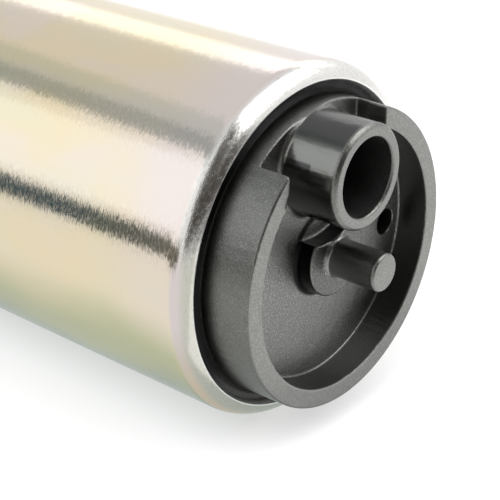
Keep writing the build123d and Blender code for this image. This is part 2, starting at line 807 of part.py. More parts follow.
nodes = {
    "housing": make_housing(),
    "inlet_cover": make_inlet_cover(),
    "pump_casing": make_pump_casing(),
    "impeller": make_impeller(),
    "thrust_button": bar(Circle(thrust_button_radius), button_face_x, button_back_x),
    "front_bearing": make_bearing(casing_boss_x),
    "rear_bearing": make_bearing(bearing_back_x),
    "rotor_shaft": make_shaft(),
    "armature_core": bar(core_section, core_back_x, core_front_x),
    "front_insulator": bar(insulator_section, core_front_x, core_front_x + insulator_thickness),
    "rear_insulator": bar(insulator_section, core_back_x - insulator_thickness, core_back_x),
    "armature_windings": make_windings(),
    "commutator_carrier": make_commutator_carrier(),
    "commutator_segments": make_commutator_segments(),
    "flux_ring": tube(stack_radius, flux_inner_radius, holder_front_x, casing_back_x),
    "upper_magnet": make_magnet(90),
    "lower_magnet": make_magnet(270),
    "left_magnet_clip": make_magnet_clip(180),
    "right_magnet_clip": make_magnet_clip(0),
    "brush_holder": make_brush_holder(),
    "outlet_cover": make_outlet_cover(),
    "outlet_seal": make_outlet_seal(),
    "check_valve_seat": make_valve_seat(),
    "check_valve_poppet": make_poppet(),
    "check_valve_guide": make_valve_guide(),
    "check_valve_spring": make_check_spring(),
    "relief_valve_seat": make_relief_seat(),
    "relief_valve_ball": make_relief_ball(),
    "relief_valve_spring": make_relief_spring(),
    "relief_valve_cap": make_relief_cap(),
}
for pole, side in (("positive", 1), ("negative", -1)):
    nodes["brush_" + pole] = brush_box(0, brush_back_x, brush_front_x, side)
    nodes["brush_spring_" + pole] = make_brush_spring(side)
    nodes["brush_lead_" + pole] = make_brush_lead(side)
    nodes["choke_core_" + pole] = make_choke_core(side)
    nodes["choke_winding_" + pole] = make_choke_winding(side)
    nodes["terminal_" + pole] = make_terminal(side)

os.makedirs("parts", exist_ok=True)
for name, shape in nodes.items():
    export_step(shape, "parts/" + name + ".step")
print("overall length", round(pin_x - nipple_tip_x, 2), "nodes", len(nodes))
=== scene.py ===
# %% [markdown]
# An in-tank fuel pump, dressed around its CAD model. The pump lies on its side: its axis is
# X, the inlet end points to +X and the floor is under it. The CAD nodes are already in the
# right place, so this script gives them finishes, and makes finer pieces where the photograph
# comes close or a plain solid stands for wire: the rolled steel housing, the cast covers, the
# valve's ball, the springs, the choke windings and the brush leads.

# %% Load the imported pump
import bmesh
import bpy
from math import cos, pi, radians, sin
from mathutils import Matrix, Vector


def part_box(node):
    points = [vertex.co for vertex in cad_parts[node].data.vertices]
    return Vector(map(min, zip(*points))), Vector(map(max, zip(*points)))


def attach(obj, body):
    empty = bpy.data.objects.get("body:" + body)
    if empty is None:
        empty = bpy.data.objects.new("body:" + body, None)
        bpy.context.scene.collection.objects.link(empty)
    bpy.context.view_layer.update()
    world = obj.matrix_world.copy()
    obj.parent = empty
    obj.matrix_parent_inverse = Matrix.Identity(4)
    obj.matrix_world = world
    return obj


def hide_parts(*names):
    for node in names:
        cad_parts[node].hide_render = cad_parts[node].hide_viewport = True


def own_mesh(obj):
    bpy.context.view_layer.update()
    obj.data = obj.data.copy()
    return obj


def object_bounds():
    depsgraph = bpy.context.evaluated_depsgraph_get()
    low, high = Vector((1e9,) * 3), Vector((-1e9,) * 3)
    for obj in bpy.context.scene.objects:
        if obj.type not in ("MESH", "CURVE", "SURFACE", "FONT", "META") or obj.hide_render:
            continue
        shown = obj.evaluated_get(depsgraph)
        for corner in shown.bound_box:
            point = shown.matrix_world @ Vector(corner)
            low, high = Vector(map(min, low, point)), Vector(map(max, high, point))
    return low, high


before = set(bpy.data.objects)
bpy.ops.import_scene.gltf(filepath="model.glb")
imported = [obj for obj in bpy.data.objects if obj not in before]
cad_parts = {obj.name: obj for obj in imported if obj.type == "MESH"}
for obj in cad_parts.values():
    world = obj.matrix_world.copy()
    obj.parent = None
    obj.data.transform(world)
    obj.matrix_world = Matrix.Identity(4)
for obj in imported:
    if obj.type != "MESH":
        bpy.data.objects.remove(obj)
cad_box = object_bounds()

mm = 0.001

# %% [markdown]
# The camera looks down on the inlet end from the front and the pump's side. A long lens from
# close by gives the slight foreshortening of a product close-up. It is aimed at a point near
# the rim, so the barrel runs out of the picture on the left. Two helpers come first: one puts
# an object into the scene, the other stands a camera or a lamp and turns it to its target.

# %% Camera at the photograph's angle
def placed(name, data):
    """Object that shows some data, linked into the scene."""
    made = bpy.data.objects.new(name, data)
    bpy.context.scene.collection.objects.link(made)
    return made


def stand(thing, place, target):
    """Stand a camera or a lamp at a place and point it at a target."""
    thing.location = place
    thing.rotation_euler = (Vector(target) - Vector(place)).to_track_quat("-Z", "Y").to_euler()


camera_place = Vector((115.764, -101.896, 63.335)) * mm
camera_target = Vector((33.47, -4.05, -0.36)) * mm
camera_data = bpy.data.cameras.new("camera")
camera_data.lens = 100.7
camera_data.clip_start = 0.01
camera = placed("camera", camera_data)
stand(camera, camera_place, camera_target)
bpy.context.scene.camera = camera
bpy.context.scene.view_settings.view_transform = "Standard"
print("camera distance", round((camera_target - camera_place).length / mm, 1), "mm")

# %% [markdown]
# Shader nodes are added by one helper: it makes the node, then sets each input by its name,
# with a number, a colour or another node's output. The others do arithmetic and mix colours.
# Most of the numbers that they pass on are shares, from 0 to 1, which say how much of
# something shows at a point. Shares that are multiplied mean "where all of these are so".

# %% Helpers for node materials
def add(tree, kind, inputs=None, **settings):
    """Add a shader node, set its properties and its inputs, and return it."""
    node = tree.nodes.new(kind)
    for name, value in settings.items():
        setattr(node, name, value)
    for name, value in (inputs or {}).items():
        if isinstance(value, bpy.types.NodeSocket):
            tree.links.new(value, node.inputs[name])
        else:
            node.inputs[name].default_value = value
    return node


def maths(tree, operation, *values):
    """Result of one arithmetic step."""
    return add(tree, "ShaderNodeMath", dict(enumerate(values)), operation=operation).outputs[0]


def product(tree, result, *factors):
    """Product of numbers, such as the share where several shares overlap."""
    for factor in factors:
        result = maths(tree, "MULTIPLY", result, factor)
    return result


def scaled(tree, value, factor, offset):
    """A value times a factor, plus an offset."""
    return maths(tree, "MULTIPLY_ADD", value, factor, offset)


def mixed(tree, share, low, high):
    """Colour between two colours, by a share from 0 to 1."""
    inputs = {0: share, 6: low, 7: high}
    return add(tree, "ShaderNodeMix", inputs, data_type="RGBA").outputs[2]


def graded(tree, value, low, high):
    """Share from 0 to 1 as a value passes from low to high, smooth at both ends."""
    inputs = {"Value": value, "From Min": low, "From Max": high}
    return add(tree, "ShaderNodeMapRange", inputs, interpolation_type="SMOOTHSTEP").outputs[0]


def connect(tree, output, shader, name):
    """Feed a node's output into one of the shader's sockets."""
    tree.links.new(output, shader.inputs[name])


def new_material(name):
    """Material made of nodes, and its node tree."""
    material = bpy.data.materials.new(name)
    material.use_nodes = True
    return material, material.node_tree


finishes = {}


def new_finish(slot, metal, roughness):
    """Start the finish of one material slot: its node tree and its main shader."""
    finishes[slot], tree = new_material("finish_" + slot)
    shader = tree.nodes["Principled BSDF"]
    shader.inputs["Metallic"].default_value = metal
    shader.inputs["Roughness"].default_value = roughness
    return tree, shader


print("node helpers ready")

# %% [markdown]
# A finish has to know where on the part it is: how far along the axis, how far out from it,
# and how high. Object coordinates say so in metres and stay on a piece when it moves. Noise
# gets its cell size in millimetres on the part, so that a grain is as fine as the real one
# on every piece, whatever the size of the piece.

# %% Helpers that measure on the part
def place_on_part(tree):
    """Object coordinates of the point that is shaded, in metres."""
    return add(tree, "ShaderNodeTexCoord").outputs["Object"]


def axes_of(tree, vector):
    """The X, Y and Z of a vector."""
    return add(tree, "ShaderNodeSeparateXYZ", {0: vector}).outputs


def noise_over(tree, vector, detail):
    """Noise from 0 to 1 whose cells are one unit of a vector long."""
    inputs = {"Vector": vector, "Scale": 1.0, "Detail": detail, "Roughness": 0.55}
    return add(tree, "ShaderNodeTexNoise", inputs).outputs["Fac"]


def speckle(tree, size, detail=2.0, shift=0.0):
    """Noise from 0 to 1 whose cells are size millimetres long in x, y and z."""
    scale = [1 / (length * mm) for length in size]
    inputs = {"Vector": place_on_part(tree), "Scale": scale, "Location": (shift, shift, shift)}
    return noise_over(tree, add(tree, "ShaderNodeMapping", inputs).outputs[0], detail)


def distance_from_axis(tree, axes, centre):
    """Distance in metres from an axis along X through a (y, z) centre in millimetres."""
    across = maths(tree, "SUBTRACT", axes["Y"], centre[0] * mm)
    upward = maths(tree, "SUBTRACT", axes["Z"], centre[1] * mm)
    square = scaled(tree, across, across, product(tree, upward, upward))
    return maths(tree, "SQRT", square)


def between(tree, value, low, high, blur):
    """1 while a value is between two sizes in millimetres, with edges that are blur wide."""
    above = graded(tree, value, (low - blur) * mm, low * mm)
    below = graded(tree, value, (high + blur) * mm, high * mm)
    return product(tree, above, below)


print("measuring helpers ready")

# %% [markdown]
# Relief too fine for the mesh is given by the direction that the surface faces. A bump works
# it out from a height in millimetres. Lines that run round a tube have no height worth
# naming, so they are made by tipping that direction a little to either side.

# %% Helpers for fine relief
def raised(tree, height, depth, under=None):
    """Surface normal from a height of 0 to 1 that stands depth millimetres tall."""
    inputs = {"Height": height, "Distance": depth * mm, "Strength": 1.0}
    if under:
        inputs["Normal"] = under
    return add(tree, "ShaderNodeBump", inputs).outputs[0]


def vector_step(tree, operation, inputs):
    """Result of one step of arithmetic with vectors."""
    return add(tree, "ShaderNodeVectorMath", inputs, operation=operation).outputs[0]


def tipped(tree, share, amount):
    """Surface normal tipped round the X axis, to one side at share 0 and the other at share 1."""
    plain = add(tree, "ShaderNodeNewGeometry").outputs["Normal"]
    round_way = vector_step(tree, "CROSS_PRODUCT", {0: (1.0, 0.0, 0.0), 1: plain})
    slope = scaled(tree, share, 2 * amount, -amount)
    push = vector_step(tree, "SCALE", {0: round_way, "Scale": slope})
    return vector_step(tree, "ADD", {0: plain, 1: push})


print("relief helpers ready")

# %% [markdown]
# The room is a white tent, as for a product shot: floor and surroundings are plain white, and
# the light comes from everywhere. The surroundings show white to the camera and in polished
# metal, and light dull surfaces a little less, so that the lamps can model the shapes.

# %% White surroundings
surroundings_light = 0.7


def seen_directly(tree):
    """1 for the rays of the camera, of polished metal and of clear parts, otherwise 0."""
    rays = add(tree, "ShaderNodeLightPath").outputs
    seen = maths(tree, "MAXIMUM", rays["Is Camera Ray"], rays["Is Glossy Ray"])
    return maths(tree, "MAXIMUM", seen, rays["Is Transmission Ray"])


world = bpy.data.worlds.new("white_tent")
bpy.context.scene.world = world
world.use_nodes = True
tree = world.node_tree
level = scaled(tree, seen_directly(tree), 1 - surroundings_light, surroundings_light)
backdrop = tree.nodes["Background"]
backdrop.inputs["Color"].default_value = (1.0, 1.0, 1.0, 1.0)
connect(tree, level, backdrop, "Strength")
print("surroundings light dull surfaces at", surroundings_light)

# %% [markdown]
# The floor is a large matt sheet that touches the lowest line of the barrel. It is nearly
# white, so it lights the pump's underside and takes its soft shadow. To the camera and in
# polished metal it is partly lit from below, like a light table, which keeps the shadow faint
# as in a bright product shot. Far from the pump only that light is left, so the floor runs
# into the white surroundings without a line.

# %% Floor sheet
def sheet(name, corners, material):
    """Flat sheet of the studio, which isn't part of the pump."""
    mesh = bpy.data.meshes.new(name)
    mesh.from_pydata([Vector(corner) for corner in corners], [], [range(len(corners))])
    mesh.materials.append(material)
    made = placed(name, mesh)
    return made


floor_z = cad_box[0].z
white = (1.0, 1.0, 1.0, 1)
paper, tree = new_material("floor_paper")
shader = tree.nodes["Principled BSDF"]
shader.inputs["Roughness"].default_value = 0.9
shader.inputs["Specular IOR Level"].default_value = 0.1
paper_fleck = speckle(tree, (60, 60, 60))
paper_tone = mixed(tree, paper_fleck, (0.95, 0.95, 0.955, 1), (0.97, 0.97, 0.97, 1))
connect(tree, paper_tone, shader, "Base Color")
light_near_pump = 0.54
inputs = {0: place_on_part(tree)}
from_middle = add(tree, "ShaderNodeVectorMath", inputs, operation="LENGTH").outputs["Value"]
far_off = graded(tree, from_middle, 0.3, 1.2)
light_share = scaled(tree, far_off, 1 - light_near_pump, light_near_pump)
glow = add(tree, "ShaderNodeEmission", {"Color": white, "Strength": 1.0}).outputs[0]
inputs = {0: product(tree, seen_directly(tree), light_share), 1: shader.outputs[0], 2: glow}
lit = add(tree, "ShaderNodeMixShader", inputs).outputs[0]
connect(tree, lit, tree.nodes["Material Output"], "Surface")
floor_reach = 3.0
floor_edge = [(x * floor_reach, y * floor_reach) for x, y in ((-1, -1), (1, -1), (1, 1), (-1, 1))]
sheet("floor", [(x, y, floor_z) for x, y in floor_edge], paper)
print("floor at", round(floor_z / mm, 2), "mm")

# %% [markdown]
# Three soft lamps model the shapes. The long one stands on the left, parallel to the barrel,
# so the polished barrel shows it as one bright band of even width. The other two hang before
# the barrel and beyond its inlet end, so the floor that the camera sees is lit from two sides
# and the shadow stays small. The last one also makes the white glint on top of the roll.
# An area lamp's brightness is its power over its area and pi, so the power is worked out
# from the brightness that the metal should show.

# %% Soft lamps
def soft_lamp(name, place, target, size, brightness):
    """Rectangular lamp of a given surface brightness, pointed at a target."""
    data = bpy.data.lights.new(name, "AREA")
    data.shape = "RECTANGLE"
    data.size, data.size_y = size
    data.energy = brightness * size[0] * size[1] * pi
    lamp = placed(name, data)
    stand(lamp, place, target)
    lamp.visible_camera = False
    return lamp


pump_middle = (0.0, 0.0, 0.0)
side_lamp = soft_lamp("side_lamp", (-0.35, -0.38, 0.265), (-0.35, 0.0, 0.0), (0.80, 0.375), 0.24)
side_lamp.data.color = (0.72, 0.86, 1.0)
front_lamp = soft_lamp("front_lamp", (0.06, -0.42, 0.56), pump_middle, (0.45, 0.45), 4.6)
front_lamp.visible_glossy = False
end_lamp = soft_lamp("end_lamp", (0.29, 0.16, 0.55), pump_middle, (0.75, 0.60), 2.4)
print("lamps", side_lamp.name, front_lamp.name, end_lamp.name)

# %% [markdown]
# A photographer shapes the reflections in bare metal with cards. A card is a flat sheet that
# glows evenly at its own tone, or passes from one tone to another along an axis. Each card
# here shows only in reflections. It throws no shadow and the camera doesn't see it, so other
# views stay clean too.

# %% Helpers for reflected cards
def card(name, tone, corners, strength=1.0):
    """Card of the studio that shows in reflections alone."""
    material, tree = new_material(name)
    tree.nodes.remove(tree.nodes["Principled BSDF"])
    glow = add(tree, "ShaderNodeEmission", {"Color": tone, "Strength": strength}).outputs[0]
    connect(tree, glow, tree.nodes["Material Output"], "Surface")
    made = sheet(name, corners, material)
    made.visible_camera = False
    made.visible_diffuse = False
    made.visible_shadow = False
    made.visible_transmission = False
    return made


def graded_card(name, corners, axis, low, high):
    """Card whose tone passes from one (place, tone) on an axis to another."""
    tree = card(name, white, corners).active_material.node_tree
    along = axes_of(tree, place_on_part(tree))[axis]
    tone = mixed(tree, graded(tree, along, low[0], high[0]), low[1], high[1])
    connect(tree, tone, tree.nodes["Emission"], "Color")


def upright(y, across, upward):
    """Corners of an upright sheet beside the pump, from its reach in x and in z."""
    (start, stop), (foot, top) = across, upward
    return (start, y, foot), (stop, y, foot), (stop, y, top), (start, y, top)


def overhead(height, far_end, inlet_end):
    """Corners of a level sheet above the pump, from its reach in y at either end."""
    start, stop = -1.4, 0.1
    return (
        (start, far_end[0], height),
        (stop, inlet_end[0], height),
        (stop, inlet_end[1], height),
        (start, far_end[1], height),
    )


print("card helpers ready")

# %% [markdown]
# A dark card low beside the pump gives the barrel its crisp dark line. Two grey strips and a
# grey ceiling calm its top. A white card at the side brightens the barrel next to the roll,
# and one behind the pump brightens the far side. A card flat on the floor darkens towards
# the pump, as the pump's own shadow does.

# %% Cards that the barrel reflects
horizon = upright(-0.30, (-0.9, 0.11), (floor_z, 0.046))
horizon_far = (-0.25, (0.045, 0.08, 0.105, 1))
horizon_near = (-0.16, (0.14, 0.14, 0.11, 1))
graded_card("horizon_card", horizon, "X", horizon_far, horizon_near)
strip_height = 0.6
strip = overhead(strip_height, (-0.08, 0.14), (-0.453, -0.333))
card("strip_card", (0.40, 0.44, 0.44, 1), strip)
soft_strip = overhead(strip_height, (0.14, 0.36), (-0.333, -0.235))
card("soft_strip_card", (0.61, 0.65, 0.65, 1), soft_strip)
card("edge_card", white, upright(-0.36, (-0.09, 0.06), (0.05, 0.34)), strength=1.15)
card("back_card", white, upright(0.5, (-0.9, 0.1), (0.21, 0.47)), strength=1.5)
mat_height = floor_z + 0.2 * mm
beside = ((-1.4, -0.8), (0.5, -0.8), (0.5, -0.025), (0.045, -0.025), (0.045, 0.06), (-1.4, 0.06))
under_pump = (0.0, (0.52, 0.57, 0.55, 1))
before_pump = (-0.04, (0.96, 0.96, 0.94, 1))
floor_corners = [(x, y, mat_height) for x, y in beside]
graded_card("floor_card", floor_corners, "Y", under_pump, before_pump)
ceiling = overhead(strip_height + 2 * mm, (-0.02, 0.6), (-0.39, 0.6))
card("ceiling_card", (0.78, 0.78, 0.80, 1), ceiling)

# %% [markdown]
# The rolled edge of the housing curves round to face the camera, so it mirrors whatever
# stands there. In the photograph that is the dark side of the room, from the horizon to
# straight overhead. A black screen in two pieces does it: the first stands from beside the
# camera to past the inlet end, the second carries on from its upper edge to above the pump.
# A black mat lies at its foot, and a narrow grey card before it gives the light streak inside
# the dark one.

# %% Dark screen round the camera
roll_middle = Vector((37, -10, 8)) * mm


def towards(azimuth, elevation, distance):
    """Place seen from the roll at an azimuth and elevation in degrees, distance metres away."""
    level = cos(radians(elevation))
    along, across = level * cos(radians(azimuth)), level * sin(radians(azimuth))
    return roll_middle + Vector((along, across, sin(radians(elevation)))) * distance


dark = (0.055, 0.048, 0.042, 1)
screen_distance = 0.6
screens = (
    ("camera_screen_foot", ((-59, 1), (22, -2), (24, 6), (2, 46))),
    ("camera_screen_top", ((-59, 1), (2, 46), (-25, 82), (-60, 84))),
)
for name, ways in screens:
    card(name, dark, [towards(*way, screen_distance) for way in ways])
mat_near = [(-57, 0.55), (-30, 0.28), (0, 0.13), (24, 0.10)]
mat_far = [(24, 0.6), (-58, 0.6)]
mat_z = floor_z + 0.5 * mm
mat_edge = [towards(azimuth, 0, distance) for azimuth, distance in mat_near + mat_far]
card("camera_mat", (0.06, 0.055, 0.05, 1), [(point.x, point.y, mat_z) for point in mat_edge])
streak = ((-19, 22), (-13, 25), (6, 48), (-3, 50))
streak_distance = 0.5
streak_corners = [towards(*way, streak_distance) for way in streak]
card("streak_card", (0.42, 0.42, 0.40, 1), streak_corners)
print("screen, mat and streak", len(mat_edge), "mat corners")

# %% [markdown]
# The housing's steel is zinc plated and passivated: a thin clear film over bright metal that
# shifts from straw to rose and green as its thickness changes. On this barrel the colours
# change from top to bottom and towards the ends, and clouds of rose lie in the straw. The olive
# and sea green of the lower side are also darker than the film: that is painted shade, for
# the shadowed floor that the underside mirrors. A real film has no straight borders, so soft
# noise moves each border up and down before the colours are laid over each other, each with
# the share of the place that it belongs to.

# %% Film colours of the steel
tree, shader = new_finish("passivated_steel", 1.0, 0.2)
straw = (0.82, 0.705, 0.495, 1)
green = (0.78, 0.71, 0.52, 1)
rose = (0.78, 0.70, 0.68, 1)
# painted shade: olive and sea green are film colours darkened for the shadowed floor that the
# underside mirrors
olive_painted_shade = (0.60, 0.595, 0.39, 1)
sea_green_painted_shade = (0.36, 0.41, 0.34, 1)
axes = axes_of(tree, place_on_part(tree))
from_middle = maths(tree, "ABSOLUTE", axes["X"])
soft_noise = speckle(tree, (12, 8, 8), detail=1.0, shift=3.0)
wander = scaled(tree, soft_noise, 8 * mm, -4 * mm)
height = maths(tree, "ADD", axes["Z"], wander)
cloud = graded(tree, speckle(tree, (26, 9, 9)), 0.45, 0.68)
blush = graded(tree, speckle(tree, (16, 7, 7), shift=9.0), 0.45, 0.7)
blush_share = scaled(tree, graded(tree, height, -4 * mm, 6 * mm), 0.35, 0.1)
towards_end = graded(tree, maths(tree, "ADD", from_middle, wander), 22 * mm, 34 * mm)
high_side = scaled(tree, graded(tree, height, -2 * mm, 8 * mm), 0.5, 0.35)
film = (
    (product(tree, blush, blush_share), rose),
    (product(tree, towards_end, high_side), rose),
    # film colour with painted shade, darker towards the bottom
    (graded(tree, height, 0.0, -8 * mm), olive_painted_shade),
    (graded(tree, height, -8 * mm, -14 * mm), sea_green_painted_shade),
)
tint = mixed(tree, cloud, straw, green)
for share, colour in film:
    tint = mixed(tree, share, tint, colour)
print("film colours", len(film) + 2)

# %% [markdown]
# Rolling the ends in stretches and rubs the film. A ring of lilac and amber lies just before
# the roll on its lower side, and the roll itself is silver with small pits; its silver is
# lighter on the upper side, which is a painted highlight. The cut edge of the sheet is bare
# steel, painted brighter than steel is as a highlight. Plain noise would give round pits, but
# the roller drew these out round the tube: so the noise is laid over coordinates that are bent
# round the axis, with the distance along it, the distance from it and the angle.

# %% Colours of the roll and its cut edge
lilac = (0.66, 0.60, 0.64, 1)
amber = (0.84, 0.65, 0.52, 1)
silver_low = (0.60, 0.59, 0.53, 1)
silver_painted_highlight = (0.80, 0.79, 0.76, 1)
pit_grey = (0.48, 0.46, 0.40, 1)
cut_steel_painted_highlight = (0.92, 0.92, 0.90, 1)
roll_from = 35.8 * mm
lower_side = graded(tree, axes["Z"], 8 * mm, 3 * mm)
ring_tint = mixed(tree, graded(tree, axes["Z"], -2 * mm, -12 * mm), lilac, amber)
ring_start = graded(tree, from_middle, roll_from, 36.3 * mm)
roll_place = scaled(tree, lower_side, -0.8 * mm, from_middle)
on_roll = graded(tree, roll_place, roll_from, 36.5 * mm)
from_axis = distance_from_axis(tree, axes, (0, 0))
pit_width = 0.16 * mm
pit_length = 0.8
barrel_radius = 19
inputs = {
    "X": maths(tree, "DIVIDE", axes["X"], pit_width),
    "Y": maths(tree, "DIVIDE", from_axis, pit_width),
    "Z": product(tree, maths(tree, "ARCTAN2", axes["Y"], axes["Z"]), barrel_radius / pit_length),
}
bent_round = add(tree, "ShaderNodeCombineXYZ", inputs).outputs[0]
pitted = noise_over(tree, bent_round, 3.0)
inside_edge = graded(tree, from_axis, 17.47 * mm, 17.4 * mm)
cut_edge = product(tree, inside_edge, graded(tree, from_middle, 37.2 * mm, 37.4 * mm))
rolled = (
    (product(tree, ring_start, lower_side, 0.75), ring_tint),
    # painted highlight: the roll's silver is lighter on its upper side
    (on_roll, mixed(tree, lower_side, silver_painted_highlight, silver_low)),
    (product(tree, on_roll, graded(tree, pitted, 0.5, 0.9)), pit_grey),
    # painted highlight: the cut edge is brighter than bare steel
    (cut_edge, cut_steel_painted_highlight),
)
for share, colour in rolled:
    tint = mixed(tree, share, tint, colour)
connect(tree, tint, shader, "Base Color")
print("colours of the roll", len(rolled))

# %% [markdown]
# Rolling left fine lines round the tube, which are noise cells that are short along the axis
# and long round it. They tip the surface a degree or so up or down, which feathers the edges
# of reflections like the teeth of a comb. Long shallow waves keep the reflections from being
# too straight, and scratches and the roll are a little duller than the film.

# %% Lines and shine of the steel
lines = speckle(tree, (0.11, 0.5, 0.5))
waves = speckle(tree, (7, 3, 3), detail=1.0, shift=4.0)
normal = raised(tree, waves, 0.01, tipped(tree, lines, 0.06))
pit_share = product(tree, on_roll, scaled(tree, lower_side, -0.6, 1.0))
connect(tree, raised(tree, product(tree, pitted, pit_share), 0.014, normal), shader, "Normal")
scratched = graded(tree, speckle(tree, (0.2, 0.5, 0.5), shift=7.0), 0.4, 0.7)
roughness = scaled(tree, scratched, 0.08, 0.12)
roughness = scaled(tree, on_roll, 0.08, roughness)
roughness = scaled(tree, cut_edge, 0.2, roughness)
connect(tree, roughness, shader, "Roughness")
print("finish passivated_steel")

# %% [markdown]
# The inlet cover and the pump casing are die castings of grey metal, blasted to a fine even
# grain. The spigot and the pin are drawn smoother by the mould, the rim is machined, and each
# takes the light its own way. A cast part can't be split into pieces for that, so the finish
# finds each place by itself: every wall of the cover is a round one, with a distance from the
# pin's or the spigot's axis and a reach along the pump, and the end faces face along X.

# %% Places on the cast cover
spigot_centre = (-1.527, 10.338)
spigot_radius = 5.35
collar_radius = 8.25
tree, shader = new_finish("cast_cover", 1.0, 0.34)
axes = axes_of(tree, place_on_part(tree))
from_pin = distance_from_axis(tree, axes, (0, 0))
from_spigot = distance_from_axis(tree, axes, spigot_centre)


def wall(distance, radii, reach, blur, reach_blur):
    """Share of the places between two radii, and between two places along the pump, in mm."""
    over_radii = between(tree, distance, *radii, blur)
    return product(tree, over_radii, between(tree, axes["X"], *reach, reach_blur))


spigot_radii = (spigot_radius - 0.1, spigot_radius + 0.1)
collar_radii = (collar_radius - 0.05, collar_radius + 0.05)
spigot_wall = wall(from_spigot, spigot_radii, (40.0, 45.4), 0.1, 0.3)
bore_wall = wall(from_spigot, (3.7, 4.15), (34.0, 45.5), 0.1, 0.3)
pin_wall = wall(from_pin, (1.85, 2.1), (42.0, 46.8), 0.1, 0.3)
inner_wall = wall(from_pin, (13.5, 13.9), (39.8, 42.8), 0.2, 0.2)
under_lip = wall(from_pin, (15.98, 19.0), (36.0, 37.4), 0.08, 0.1)
boss_foot = wall(from_pin, (4.2, 4.6), (39.4, 41.3), 0.4, 0.2)
collar_wall = wall(from_spigot, collar_radii, (39.8, 41.4), 0.1, 0.1)
beside_spigot = product(tree, collar_wall, graded(tree, from_pin, 5.4 * mm, 5.2 * mm))
facing = axes_of(tree, add(tree, "ShaderNodeTexCoord").outputs["Normal"])
facing_end = graded(tree, facing["X"], 0.7, 0.95)
machined = product(tree, facing_end, graded(tree, axes["X"], 42.7 * mm, 43.0 * mm))
boss_end = product(tree, facing_end, wall(from_pin, (0.0, 4.2), (41.4, 41.8), 0.1, 0.1))
print("places on the cast cover found")

# %% [markdown]
# Cast metal has no lit side of its own: it shows the surroundings, blurred, which is partly why
# its inner walls look nearly black; the rest is painted shade, as in the spigot's bore. So it is
# a dark metal, with light flakes where the blasting cut into it, painted lighter on the end
# faces than on the walls. The tones are laid over each other like coats of paint, as the
# film's colours are. The spigot's wall is a lighter grey, and painted shade darkens it above
# and below its bright stripe, so the stripe is partly a painted highlight.

# %% Greys of the cast metal
grain = speckle(tree, (0.16, 0.16, 0.16), detail=4.0)
stain = graded(tree, speckle(tree, (4, 4, 4), detail=3.0, shift=2.0), 0.3, 0.7)
# painted light: the flakes are lighter on faces that look along the pump than on the walls
flake_painted_light = mixed(tree, facing_end, (0.25, 0.25, 0.238, 1), (0.36, 0.36, 0.343, 1))
few_flakes = scaled(tree, maths(tree, "MAXIMUM", machined, boss_end), -0.3, 1.0)
# painted shade on the spigot above and below its bright stripe
painted_shade_above = graded(tree, axes["Z"], 13.9 * mm, 14.6 * mm)
painted_shade_below = graded(tree, axes["Z"], 10.6 * mm, 9.6 * mm)
spigot_painted_shade = product(tree, spigot_wall, maths(tree, "MAXIMUM", painted_shade_above, painted_shade_below))
coats = (
    (facing_end, (0.165, 0.165, 0.158, 1)),
    (boss_end, (0.09, 0.09, 0.088, 1)),
    (machined, (0.215, 0.215, 0.205, 1)),
    (product(tree, few_flakes, graded(tree, grain, 0.42, 0.72)), flake_painted_light),
    # lighter grey for the spigot's wall; with the painted shade above and below it gives a painted
    # highlight stripe
    (spigot_wall, (0.235, 0.235, 0.218, 1)),
    (spigot_painted_shade, (0.09, 0.09, 0.088, 1)),
    (pin_wall, (0.30, 0.30, 0.288, 1)),
    # painted shade: the spigot's bore and the cover's inner wall are darker than the rest
    (bore_wall, (0.10, 0.10, 0.098, 1)),
    (inner_wall, (0.09, 0.09, 0.088, 1)),
)
grey = mixed(tree, stain, (0.152, 0.152, 0.142, 1), (0.184, 0.184, 0.173, 1))
for share, tone in coats:
    grey = mixed(tree, share, grey, tone)
print("coats of grey", len(coats) + 1)

# %% [markdown]
# Painted shade darkens the places that little light reaches: the recess under the housing's
# lip, round the foot of the boss and the collar beside the spigot. The foot of the cover's wall
# and the lower side of the rim get a lighter painted shade. In the recess the painted shade is
# thinner at the bottom, where the floor's light still finds the metal.

# %% Painted shade on the cast metal
# painted shade: a near-black tone laid where the light is weak
painted_shade_tone = (0.03, 0.03, 0.029, 1)
wall_foot = product(
    tree,
    between(tree, from_pin, 15.5, 16.2, 0.2),
    graded(tree, axes["X"], 39.6 * mm, 37.3 * mm),
    graded(tree, axes["Z"], -12 * mm, -2 * mm),
    0.8,
)
low_side = product(
    tree,
    graded(tree, axes["Z"], -5 * mm, -13 * mm),
    graded(tree, from_pin, 13.8 * mm, 14.0 * mm),
    0.25,
)
low_down = graded(tree, axes["Z"], -8 * mm, -14 * mm)
recess_painted_shade = mixed(tree, low_down, (0.012, 0.012, 0.012, 1), (0.08, 0.08, 0.078, 1))
shaded_places = maths(tree, "MAXIMUM", under_lip, maths(tree, "MAXIMUM", boss_foot, beside_spigot))
painted_shade = ((wall_foot, painted_shade_tone), (low_side, painted_shade_tone), (shaded_places, recess_painted_shade))
for share, tone in painted_shade:
    grey = mixed(tree, share, grey, tone)
connect(tree, grey, shader, "Base Color")
print("kinds of dirt", len(painted_shade))

# %% [markdown]
# The grain of the blasting is also a fine relief. It fades out on the drawn walls of the
# spigot and the pin and on the machined rim, and is stronger on the other end faces. Under it
# lie long waves, because a cast face is never quite flat. The spigot's wall shines more than
# the rest, and its bore less.

# %% Grain and shine of the cast metal
drawn = maths(tree, "MAXIMUM", spigot_wall, pin_wall)
relief = product(
    tree,
    grain,
    scaled(tree, drawn, -0.8, 1.0),
    scaled(tree, facing_end, 0.8, 1.0),
    scaled(tree, machined, -0.7, 1.0),
)
waves = raised(tree, speckle(tree, (2.5, 1.2, 1.2), shift=4.0), 0.05)
connect(tree, raised(tree, relief, 0.03, waves), shader, "Normal")
roughness = scaled(tree, stain, 0.05, 0.29)
roughness = scaled(tree, spigot_wall, -0.1, roughness)
roughness = scaled(tree, bore_wall, 0.2, roughness)
connect(tree, roughness, shader, "Roughness")
print("finish cast_cover")

